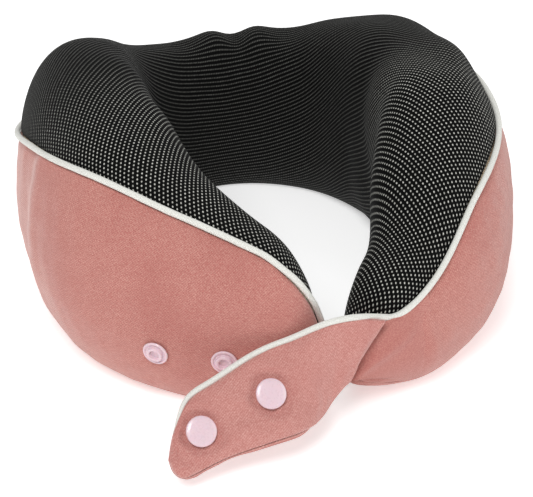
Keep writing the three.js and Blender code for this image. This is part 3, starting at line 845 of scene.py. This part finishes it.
def tip_piping_path(end, sign):
    """The cord down the middle of an arm's tip, just in front of the cloth."""
    off = PIPING_RADIUS + TIP_CORD_GAP
    middle = (inner_radius(end) + outer_radius(end)) / 2
    top = piping_height(end) - 6
    z = np.linspace(top, PIPING_RADIUS + TIP_CORD_FOOT + tip_lift(end), 40)
    r = middle - leaning(end, z, roll_height(end))
    turn = math.radians(end)
    x = r * math.sin(turn) + sign * off * math.cos(turn)
    y = r * math.cos(turn) - sign * off * math.sin(turn) + NECK_CENTRE_Y
    return np.stack([x, y, z], -1)


CORD_WAVER = 0.03


def cord(name, path, node, seed):
    path, radii = round_ends(path, PIPING_RADIUS)
    lengths = run_lengths(path)
    radii = radii * (1 + CORD_WAVER * wave(lengths, 0, seed, 9))
    return dress(tube(name, path, radii), PIPING, "white_piping", node)


top_path = piping_path(np.linspace(LEFT_END + 0.6, TOP_PIPING_END, 520))
top_piping = cord("seam_piping_top", top_path, "top_piping", 5)
left_tip = cord("seam_piping_left_tip", tip_piping_path(LEFT_END, -1), "tip_piping_left", 6)
right_tip = cord("seam_piping_right_tip", tip_piping_path(RIGHT_END, 1), "tip_piping_right", 7)

# ------------------------------------------------------------------ press studs

STUDS = [("outer", -138, 34), ("inner", -153, 35)]
STUD_PROFILE = [
    [0, -1.7], [1.5, -1.7], [1.5, 0.3], [5.9, 0.3], [6.1, 0.8], [5.8, 1.3], [5.1, 1.3], [4.7, 0.7],
    [3.9, 0.7], [3.8, 2.2], [3.5, 2.5], [2.7, 2.5], [2.4, 2.2], [2.25, 0.8], [1.2, 0.65], [0, 0.65],
]
BACKING_PROFILE = [[0, -4.2], [5.1, -4.2], [5.5, -3.8], [5.5, -3], [0, -3]]


def fastener(name, profile, rounding, place, node):
    piece = stand(turned(name, rounded_profile(profile, rounding)), *place)
    return dress(piece, SNAP, "snap_plastic", node)


for side, angle, z in STUDS:
    section = section_at(angle, z)
    place = skin(angle, section), skin_normal(angle, section)
    stud = fastener(f"stud_{side}", STUD_PROFILE, 0.15, place, f"lobe_stud_{side}")
    backing = fastener(f"stud_back_{side}", BACKING_PROFILE, 0.25, place, f"stud_backing_{side}")
    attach(stud, "pillow")
    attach(backing, "pillow")

# ------------------------------------------------------------------ strap

# The strap's edges, as the way along it and the way up across it.
STRAP_TOP = [[-15, 18], [5, 20], [25, 17], [44, 13], [65, 3], [78, -4], [87, -16], [92, -28]]
STRAP_BOTTOM = [
    [2.5, -14], [8, -14], [20.5, -21.5], [43, -25], [66, -30], [80, -35], [88, -37], [91.5, -32],
]
STRAP_MID_Z = 36
STRAP_ROOT_Y = -124
STRAP_LEAN = 44
STRAP_EDGE_HALF = 1.0
STRAP_CROWN = 2.2
STRAP_SNAPS = [("inner", 43, -5), ("outer", 76, -18)]
CAP_RADIUS = 6.9
SEAT = STRAP_EDGE_HALF + STRAP_CROWN - 0.5
BACK = STRAP_EDGE_HALF + STRAP_CROWN + 0.8


def strap_tip(s):
    """How far back the strap leans at a place along it, in radians."""
    return np.radians(STRAP_LEAN) * smooth(s, -4, 42)


def strap_point(s, w, out=0.0):
    """A point s along the strap and w up across it, and out in front of its middle."""
    s, w, out = np.broadcast_arrays(*(np.asarray(value, float) for value in (s, w, out)))
    y = STRAP_ROOT_Y + NECK_CENTRE_Y - 8 * smooth(s, -6, 32) + 7 * smooth(s, 32, 95)
    tip = strap_tip(s)
    return np.stack([
        -s,
        y + w * np.sin(tip) - out * np.cos(tip),
        STRAP_MID_Z + w * np.cos(tip) + out * np.sin(tip),
    ], -1)


def ease_between(start, end, start_way, end_way, t):
    """A smooth curve from start to end that leaves and arrives in the two given directions."""
    return (
        (2 * t ** 3 - 3 * t ** 2 + 1) * start + (t ** 3 - 2 * t ** 2 + t) * start_way
        + (3 * t ** 2 - 2 * t ** 3) * end + (t ** 3 - t ** 2) * end_way
    )


def spline(points, t):
    """A uniform Catmull-Rom curve through the points, with t from 0 to 1."""
    points = np.asarray(points, float)
    t = np.clip(np.asarray(t, float), 0, 1) * (len(points) - 1)
    i = np.minimum(t.astype(int), len(points) - 2)
    f = (t - i)[..., None]
    p1, p2 = points[i], points[i + 1]
    p0 = points[np.maximum(i - 1, 0)]
    p3 = points[np.minimum(i + 2, len(points) - 1)]
    return ease_between(p1, p2, (p2 - p0) * 0.5, (p3 - p1) * 0.5, f)


STRAP_ROWS = 110
STRAP_COLUMNS = 60
STRAP_PUFF = 3.6  # the padding's rise over the strap's edge, before it swells
MOST_SWELL = 3.4
CREASE_EASE = 5
BACK_HANG = 2.6  # how far the back face hangs below the strap's lower seam


def strap_plan():
    """The strap's flat grid: s, w, how far across (-1 to 1) and how full, for each point."""
    a = np.linspace(0, 1, STRAP_ROWS)[:, None]
    q = np.sin(np.linspace(-math.pi / 2, math.pi / 2, STRAP_COLUMNS))[None, :]
    q = 0.6 * q + 0.4 * np.linspace(-1, 1, STRAP_COLUMNS)[None, :]
    near = a + np.linspace(-0.06, 0.06, 13)
    high = spline(STRAP_TOP, a[:, 0])[:, None]
    high[..., 1] -= 2.2 * (1 - smooth(a, 0, 0.12))
    low = spline(STRAP_BOTTOM, near).mean(axis=1)[:, None]
    place = low + (high - low) * ((q + 1) / 2)[..., None]
    ends = np.clip(np.minimum(a / 0.07, (1 - a) / 0.08), 0, 1)
    edge = np.sqrt(np.clip(1 - np.abs(q) ** 4, 0, 1)) * np.sin(ends * math.pi / 2)
    return place[..., 0], place[..., 1], np.broadcast_to(q, edge.shape), edge


def snap_pull(s, w):
    """1 where a snap holds both faces of the strap together, falling to 0 around it."""
    pull = np.zeros(s.shape)
    for _, snap_s, snap_w in STRAP_SNAPS:
        far = np.hypot(s - snap_s, w - snap_w)
        pull = np.maximum(pull, 1 - smooth(far, CAP_RADIUS - 0.8, CAP_RADIUS + 5.5))
    return pull


CLOTH_SETTINGS = {
    "quality": 7,
    "mass": 0.25,
    "tension_stiffness": 22,
    "compression_stiffness": 6,
    "shear_stiffness": 6,
    "bending_stiffness": 0.25,
    "use_pressure": True,
    "uniform_pressure_force": 9,
    "shrink_min": -0.03,
    "vertex_group_mass": "held",
}


def swell(piece, rest, held, frames=16):
    """Blows a closed cloth up from inside, held where the weights say, and bakes the result."""
    group = piece.vertex_groups.new(name="held")
    for index, weight in enumerate(held):
        group.add([index], float(weight), "REPLACE")
    cloth = piece.modifiers.new("cloth", "CLOTH")
    for name, value in CLOTH_SETTINGS.items():
        setattr(cloth.settings, name, value)
    cloth.settings.effector_weights.gravity = 0
    cloth.collision_settings.use_collision = False
    cloth.point_cache.frame_start = 1
    cloth.point_cache.frame_end = frames
    scene = bpy.context.scene
    for number in range(1, frames + 1):
        scene.frame_set(number)
    evaluated = piece.evaluated_get(bpy.context.evaluated_depsgraph_get())
    after = np.empty(len(piece.data.vertices) * 3)
    evaluated.data.vertices.foreach_get("co", after)
    after = after.reshape(-1, 3) / MM
    scene.frame_set(1)
    move = after - rest
    length = np.linalg.norm(move, axis=1, keepdims=True)
    limit = MOST_SWELL * np.tanh(length / MOST_SWELL)
    return rest + move * limit / np.maximum(length, 1e-9)


def strap_faces():
    """Front and back faces of the strap, swollen as one closed cover sewn at its edge."""
    s, w, q, edge = strap_plan()
    pull = snap_pull(s, w)
    flat_half = STRAP_EDGE_HALF * 0.55 + STRAP_PUFF * edge
    half = flat_half * (1 - pull) + (SEAT - 0.15) * pull
    grids = [strap_point(s, w, face * half) for face in (1, -1)]
    rest = np.concatenate([grid.reshape(-1, 3) for grid in grids])
    front = strip_faces(STRAP_ROWS, STRAP_COLUMNS)
    back = strip_faces(STRAP_ROWS, STRAP_COLUMNS, STRAP_ROWS * STRAP_COLUMNS, flip=True)
    cover = make_object("strap_cover", rest, front + back)
    border = np.zeros(s.shape)
    border[[0, 1, -1], :] = 1
    border[:, [0, -1]] = 1
    held = np.maximum(border, np.clip(pull * 1.8 - 0.4, 0, 1)).ravel()
    swollen = swell(cover, rest, np.tile(held, 2))
    bpy.data.objects.remove(cover)
    moved = (swollen - rest).reshape(2, *s.shape, 3)
    faces = [grid + ease(move, CREASE_EASE) for grid, move in zip(grids, moved)]
    return s, w, [press(s, w, q, face, grid) for face, grid in zip((1, -1), faces)]


def ease(grid, rounds):
    """Evens out small creases in a grid of points, leaving its border where it is."""
    for _ in range(rounds):
        inner = grid[1:-1, 1:-1]
        around = grid[:-2, 1:-1] + grid[2:, 1:-1] + grid[1:-1, :-2] + grid[1:-1, 2:]
        grid = grid.copy()
        grid[1:-1, 1:-1] = 0.5 * inner + 0.125 * around
    return grid


def press(s, w, q, face, grid):
    """Presses a dimple and a few puckers round each snap; the back hangs below the seam."""
    inwards = strap_point(s, w) - grid
    depth = np.linalg.norm(inwards, axis=-1)
    dent = np.zeros(s.shape)
    for _, snap_s, snap_w in STRAP_SNAPS:
        far = np.hypot(s - snap_s, w - snap_w)
        turn = np.arctan2(w - snap_w, s - snap_s)
        puckers = 1 + 0.3 * np.cos(5 * turn + face) + 0.2 * np.cos(3 * turn + 2)
        dent = dent + 1.5 * np.exp(-((far - CAP_RADIUS - 0.6) / 3.4) ** 2) * puckers
    dent = np.minimum(dent, depth * 0.6)
    grid = grid + inwards / np.maximum(depth, 1e-6)[..., None] * dent[..., None]
    if face < 0:
        ends = smooth(s, 18, 34) * (1 - smooth(s, 80, 91))
        hang = BACK_HANG * np.exp(-((q + 0.93) / 0.06) ** 2) * ends
        grid = grid + (strap_point(s, w - 1) - strap_point(s, w)) * hang[..., None]
    return grid


def strap_sheet(name, face, s, w, outer):
    """One jersey face of the strap: its swollen surface with a thickness inwards."""
    inwards = strap_point(s, w) - outer
    depth = np.linalg.norm(inwards, axis=-1, keepdims=True)
    thick = np.minimum(CLOTH_THICKNESS * 0.8, depth * 0.85)
    inner = outer + inwards / np.maximum(depth, 1e-6) * thick
    uvs = np.stack([s, w], -1)
    if face < 0:
        outer, inner, uvs = outer[::-1], inner[::-1], uvs[::-1]
    return shell(name, outer, inner, uvs)


PLAN_S, PLAN_W, (FRONT_FACE, BACK_FACE) = strap_faces()
strap_front = strap_sheet("strap_front", 1, PLAN_S, PLAN_W, FRONT_FACE)
strap_back = strap_sheet("strap_back", -1, PLAN_S, PLAN_W, BACK_FACE)
dress(strap_front, STRAP_JERSEY_PAINTED_LIGHTER, "pink_jersey", "strap_front_panel", "strap_padding")
dress(strap_back, STRAP_JERSEY_PAINTED_LIGHTER, "pink_jersey", "strap_back_panel")


def strap_edge(t):
    """Points along the strap's top edge, from the arm's own piping to the strap's corner."""
    point = spline(STRAP_TOP, t)
    ahead = spline(STRAP_TOP, t + 0.004) - spline(STRAP_TOP, t - 0.004)
    ahead /= np.linalg.norm(ahead, axis=-1, keepdims=True)
    off = 1.1 - 1.5 * smooth(t, 0.7, 0.87)
    edge = point + np.stack([-ahead[:, 1], ahead[:, 0]], -1) * off[:, None]
    path = strap_point(edge[:, 0], edge[:, 1])
    joined = (1 - smooth(t, 0.0, 0.12))[:, None]
    return path + (top_path[-1] - path[0]) * joined


CORD_POINTS = 240
CORD_TAPER = 0.55
strap_cord = strap_edge(np.linspace(0.0, 0.87, CORD_POINTS))
cord_radii = PIPING_RADIUS * (1 - CORD_TAPER * smooth(np.linspace(0, 1, CORD_POINTS), 0.72, 1.0))
strap_piping = tube("strap_seam_piping", strap_cord, cord_radii)
dress(strap_piping, PIPING, "white_piping", "strap_piping")

ROOT_ANGLE = 161  # where the outer jersey leaves the round of the arm for the strap's seam
ROOT_ROWS = 60
ROOT_COLUMNS = 50
ROOT_SINK = 0.4  # how far behind the strap's front face the sheet starts
ROOT_CORD = 6  # the point of the strap's cord where the sheet's top edge starts
ROOT_LEAVE = np.array([1.0, -0.12, 0.25])
ROOT_THICKNESS = np.array([0.3, 1.2, 0.0])
GROOVE_DEPTH = 1.6
RIDGE_RISE = 1.4


def strap_root():
    """The end of the outer jersey, which runs on from the arm's wall to the strap's seam."""
    t = np.linspace(0, 1, ROOT_ROWS)[:, None]
    share = np.linspace(0, 1, ROOT_COLUMNS)
    seam = path_points(FRONT_FACE[0], np.linspace(0, 1, STRAP_COLUMNS), share)
    seam[:, 1] += ROOT_SINK
    low = section_at(ROOT_ANGLE, lower_seam(ROOT_ANGLE) + 1)
    high = step_along(ROOT_ANGLE, piping_section(ROOT_ANGLE), -SEAM_TUCK)
    sections = low + (high - low) * share
    wall = skin(ROOT_ANGLE, sections)
    back = skin(ROOT_ANGLE + 0.5, sections) - wall
    back /= np.linalg.norm(back, axis=-1, keepdims=True)
    wall = wall + skin_normal(ROOT_ANGLE, sections) * relief(ROOT_ANGLE, sections)[:, None]
    length = np.linalg.norm(wall - seam, axis=-1)
    ways = ROOT_LEAVE * length[:, None], -back * length[:, None]
    sheet = ease_between(seam, wall, *ways, t[:, :, None])
    cord_run = np.concatenate([
        strap_cord[ROOT_CORD::-1],
        piping_path(np.linspace(TOP_PIPING_END, ROOT_ANGLE, 40)),
    ])
    runs = run_lengths(cord_run)
    top = path_points(cord_run, runs, t[:, 0] * runs[-1])
    sheet = sheet + (top - sheet[:, -1])[:, None] * (share ** 4)[:, None]
    from_seam = t * length
    groove = GROOVE_DEPTH * np.exp(-(from_seam / 2.6) ** 1.5)
    ridge = RIDGE_RISE * np.exp(-((share - 0.1 - from_seam / 34) / 0.17) ** 2)
    ridge = ridge * smooth(from_seam, 1, 7) * (1 - smooth(from_seam, 10, 24))
    sheet[..., 1] += (groove - ridge) * (1 - smooth(t, 0.6, 0.95))
    u = np.radians(ROOT_ANGLE) * CLOTH_RADIUS + length - from_seam
    uvs = np.stack([u, np.broadcast_to(sections, u.shape)], -1)
    return shell("strap_root", sheet, sheet + ROOT_THICKNESS, uvs)


root = strap_root()
joined = bmesh.new()
joined.from_mesh(jersey.data)
joined.from_mesh(root.data)
joined.to_mesh(jersey.data)
joined.free()
bpy.data.objects.remove(root)

CAP_PROFILE = [
    [0, 0.1 - SEAT], [1.5, 0.1 - SEAT], [1.5, SEAT], [CAP_RADIUS - 0.3, SEAT],
    [CAP_RADIUS, SEAT + 0.45], [CAP_RADIUS - 0.3, SEAT + 1.1], [CAP_RADIUS * 0.75, SEAT + 1.5],
    [CAP_RADIUS * 0.4, SEAT + 1.68], [0, SEAT + 1.7],
]
SOCKET_PROFILE = [
    [0, -BACK - 1], [3.6, -BACK - 1], [3.6, -BACK - 3.1], [4.6, -BACK - 3.1], [4.9, -BACK - 1.2],
    [6, -BACK - 0.8], [6, -BACK], [0, -BACK],
]

for side, s, w in STRAP_SNAPS:
    tip = float(strap_tip(s))
    normal = (0, -math.cos(tip), math.sin(tip))
    place = strap_point(s, w), normal
    cap = fastener(f"snap_cap_{side}", CAP_PROFILE, 0.3, place, f"strap_cap_{side}")
    socket = fastener(f"snap_socket_{side}", SOCKET_PROFILE, 0.25, place, f"strap_socket_{side}")
    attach(cap, "strap")
    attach(socket, "strap")

# ------------------------------------------------------------------ zip

ZIP_ARC_CENTRE_Y = 3.2
ZIP_ARC_RADIUS = 130.7
ZIP_ARC_TURN = 37
TAPE_END = 50
TAPE_RADIUS = 124
TAPE_DEPTHS = (0.45, 1.25)  # of the tape's outer and inner face under the skin
COIL_TURNS = 84
COIL_STEPS = 12


def zip_tape(name, side, node):
    """One side of the tape, from near the zip's middle to just under the cloth's edge."""
    angles = np.linspace(-TAPE_END, TAPE_END, 160)[:, None]
    start, end = SEAM_HALF_GAP, lower_opening(angles) + 0.1
    heights = ZIP_Z + side * (start + (end - start) * np.linspace(0, 1, 8))
    angles = np.broadcast_to(angles, heights.shape)
    sections = section_at(angles, heights)
    outer, inner = [skin(angles, sections, depth) for depth in TAPE_DEPTHS]
    uvs = np.stack([np.radians(angles) * TAPE_RADIUS, heights], -1)
    if side < 0:
        outer, inner, uvs = outer[:, ::-1], inner[:, ::-1], uvs[:, ::-1]
    return dress(shell(name, outer, inner, uvs), ZIP_TAPE, "zip_tape", node)


def zip_arc(turn, out, up):
    turn = np.radians(turn)
    radius = ZIP_ARC_RADIUS + out
    return np.stack([
        radius * np.sin(turn),
        radius * np.cos(turn) + ZIP_ARC_CENTRE_Y,
        ZIP_Z + up,
    ], -1)


def coil():
    """The nylon coil: one flattened helix whose turns are the zip's teeth."""
    t = np.linspace(0, 1, COIL_TURNS * COIL_STEPS)
    phase = t * COIL_TURNS * 2 * math.pi
    angle = -ZIP_ARC_TURN + 2 * ZIP_ARC_TURN * t
    path = zip_arc(angle, 0.25 + 0.5 * np.cos(phase), 1.35 * np.sin(phase))
    return dress(tube("zip_teeth", path, 0.38, around=6), ZIP_COIL, "zip_coil", "zip_coil")


upper_tape = zip_tape("zip_tape_top", 1, "zip_tape_upper")
lower_tape = zip_tape("zip_tape_bottom", -1, "zip_tape_lower")
teeth = coil()

for node in ("zip_stop_start", "zip_stop_end", "zip_slider", "zip_pull"):
    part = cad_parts[node]
    part.data.materials.clear()
    part.data.materials.append(METAL)
    bevel = part.modifiers.new("edges", "BEVEL")
    bevel.width = 0.00018
    bevel.segments = 2
    bevel.limit_method = "ANGLE"

# ------------------------------------------------------------------ riding, and the strap's pieces baked in place

for piece in (knit, jersey, base, foam, top_piping, left_tip, right_tip, upper_tape, lower_tape, teeth):
    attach(piece, "pillow")
for piece in (strap_front, strap_back, strap_piping):
    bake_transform(piece)

# ------------------------------------------------------------------ floor, light, camera

def add_floor():
    reach, drop = 30.0, 0.0002
    mesh = bpy.data.meshes.new("floor")
    corners = [(-reach, -reach), (reach, -reach), (reach, reach), (-reach, reach)]
    mesh.from_pydata([(x, y, -drop) for x, y in corners], [], [(0, 1, 2, 3)])
    mesh.materials.append(Graph("pale_floor").finish({
        "Base Color": (0.93, 0.93, 0.93, 1),
        "Roughness": 0.9,
        "Emission Color": (1, 1, 1, 1),
        "Emission Strength": 0.45,
    }))
    floor = add_object("floor", mesh)


LIGHT_TARGET = Vector((0, 0, 0.04))


def aim(thing, place, back):
    thing.location = place
    thing.rotation_mode = "QUATERNION"
    thing.rotation_quaternion = back.to_track_quat("Z", "Y")


def add_light(name, place, size, power):
    data = bpy.data.lights.new(name, "AREA")
    data.shape = "DISK"
    data.size = size
    data.energy = power
    aim(add_object(name, data), place, Vector(place) - LIGHT_TARGET)


def add_camera():
    azimuth, elevation, distance = math.radians(-18.2), math.radians(33.5), 0.8207
    target = Vector((-0.0054, -0.0008, 0.0266))
    back = Vector((
        math.sin(azimuth) * math.cos(elevation),
        -math.cos(azimuth) * math.cos(elevation),
        math.sin(elevation),
    ))
    data = bpy.data.cameras.new("camera")
    data.lens = 110.3
    data.sensor_width = 36
    data.clip_start = 0.05
    camera = add_object("camera", data)
    aim(camera, target + back * distance, back)
    bpy.context.scene.camera = camera


def add_world():
    world = bpy.data.worlds.new("studio")
    world.use_nodes = True
    background = world.node_tree.nodes["Background"]
    background.inputs["Color"].default_value = (1, 1, 1, 1)
    background.inputs["Strength"].default_value = 0.37
    bpy.context.scene.world = world


add_floor()
add_world()
add_light("key", (-0.55, -0.75, 1.35), size=0.7, power=13)
add_light("fill", (1.1, -0.7, 0.7), size=0.9, power=3.6)
add_light("back", (0.3, 1.2, 1.1), size=0.9, power=4.5)
add_camera()
bpy.context.scene.view_settings.view_transform = "Standard"
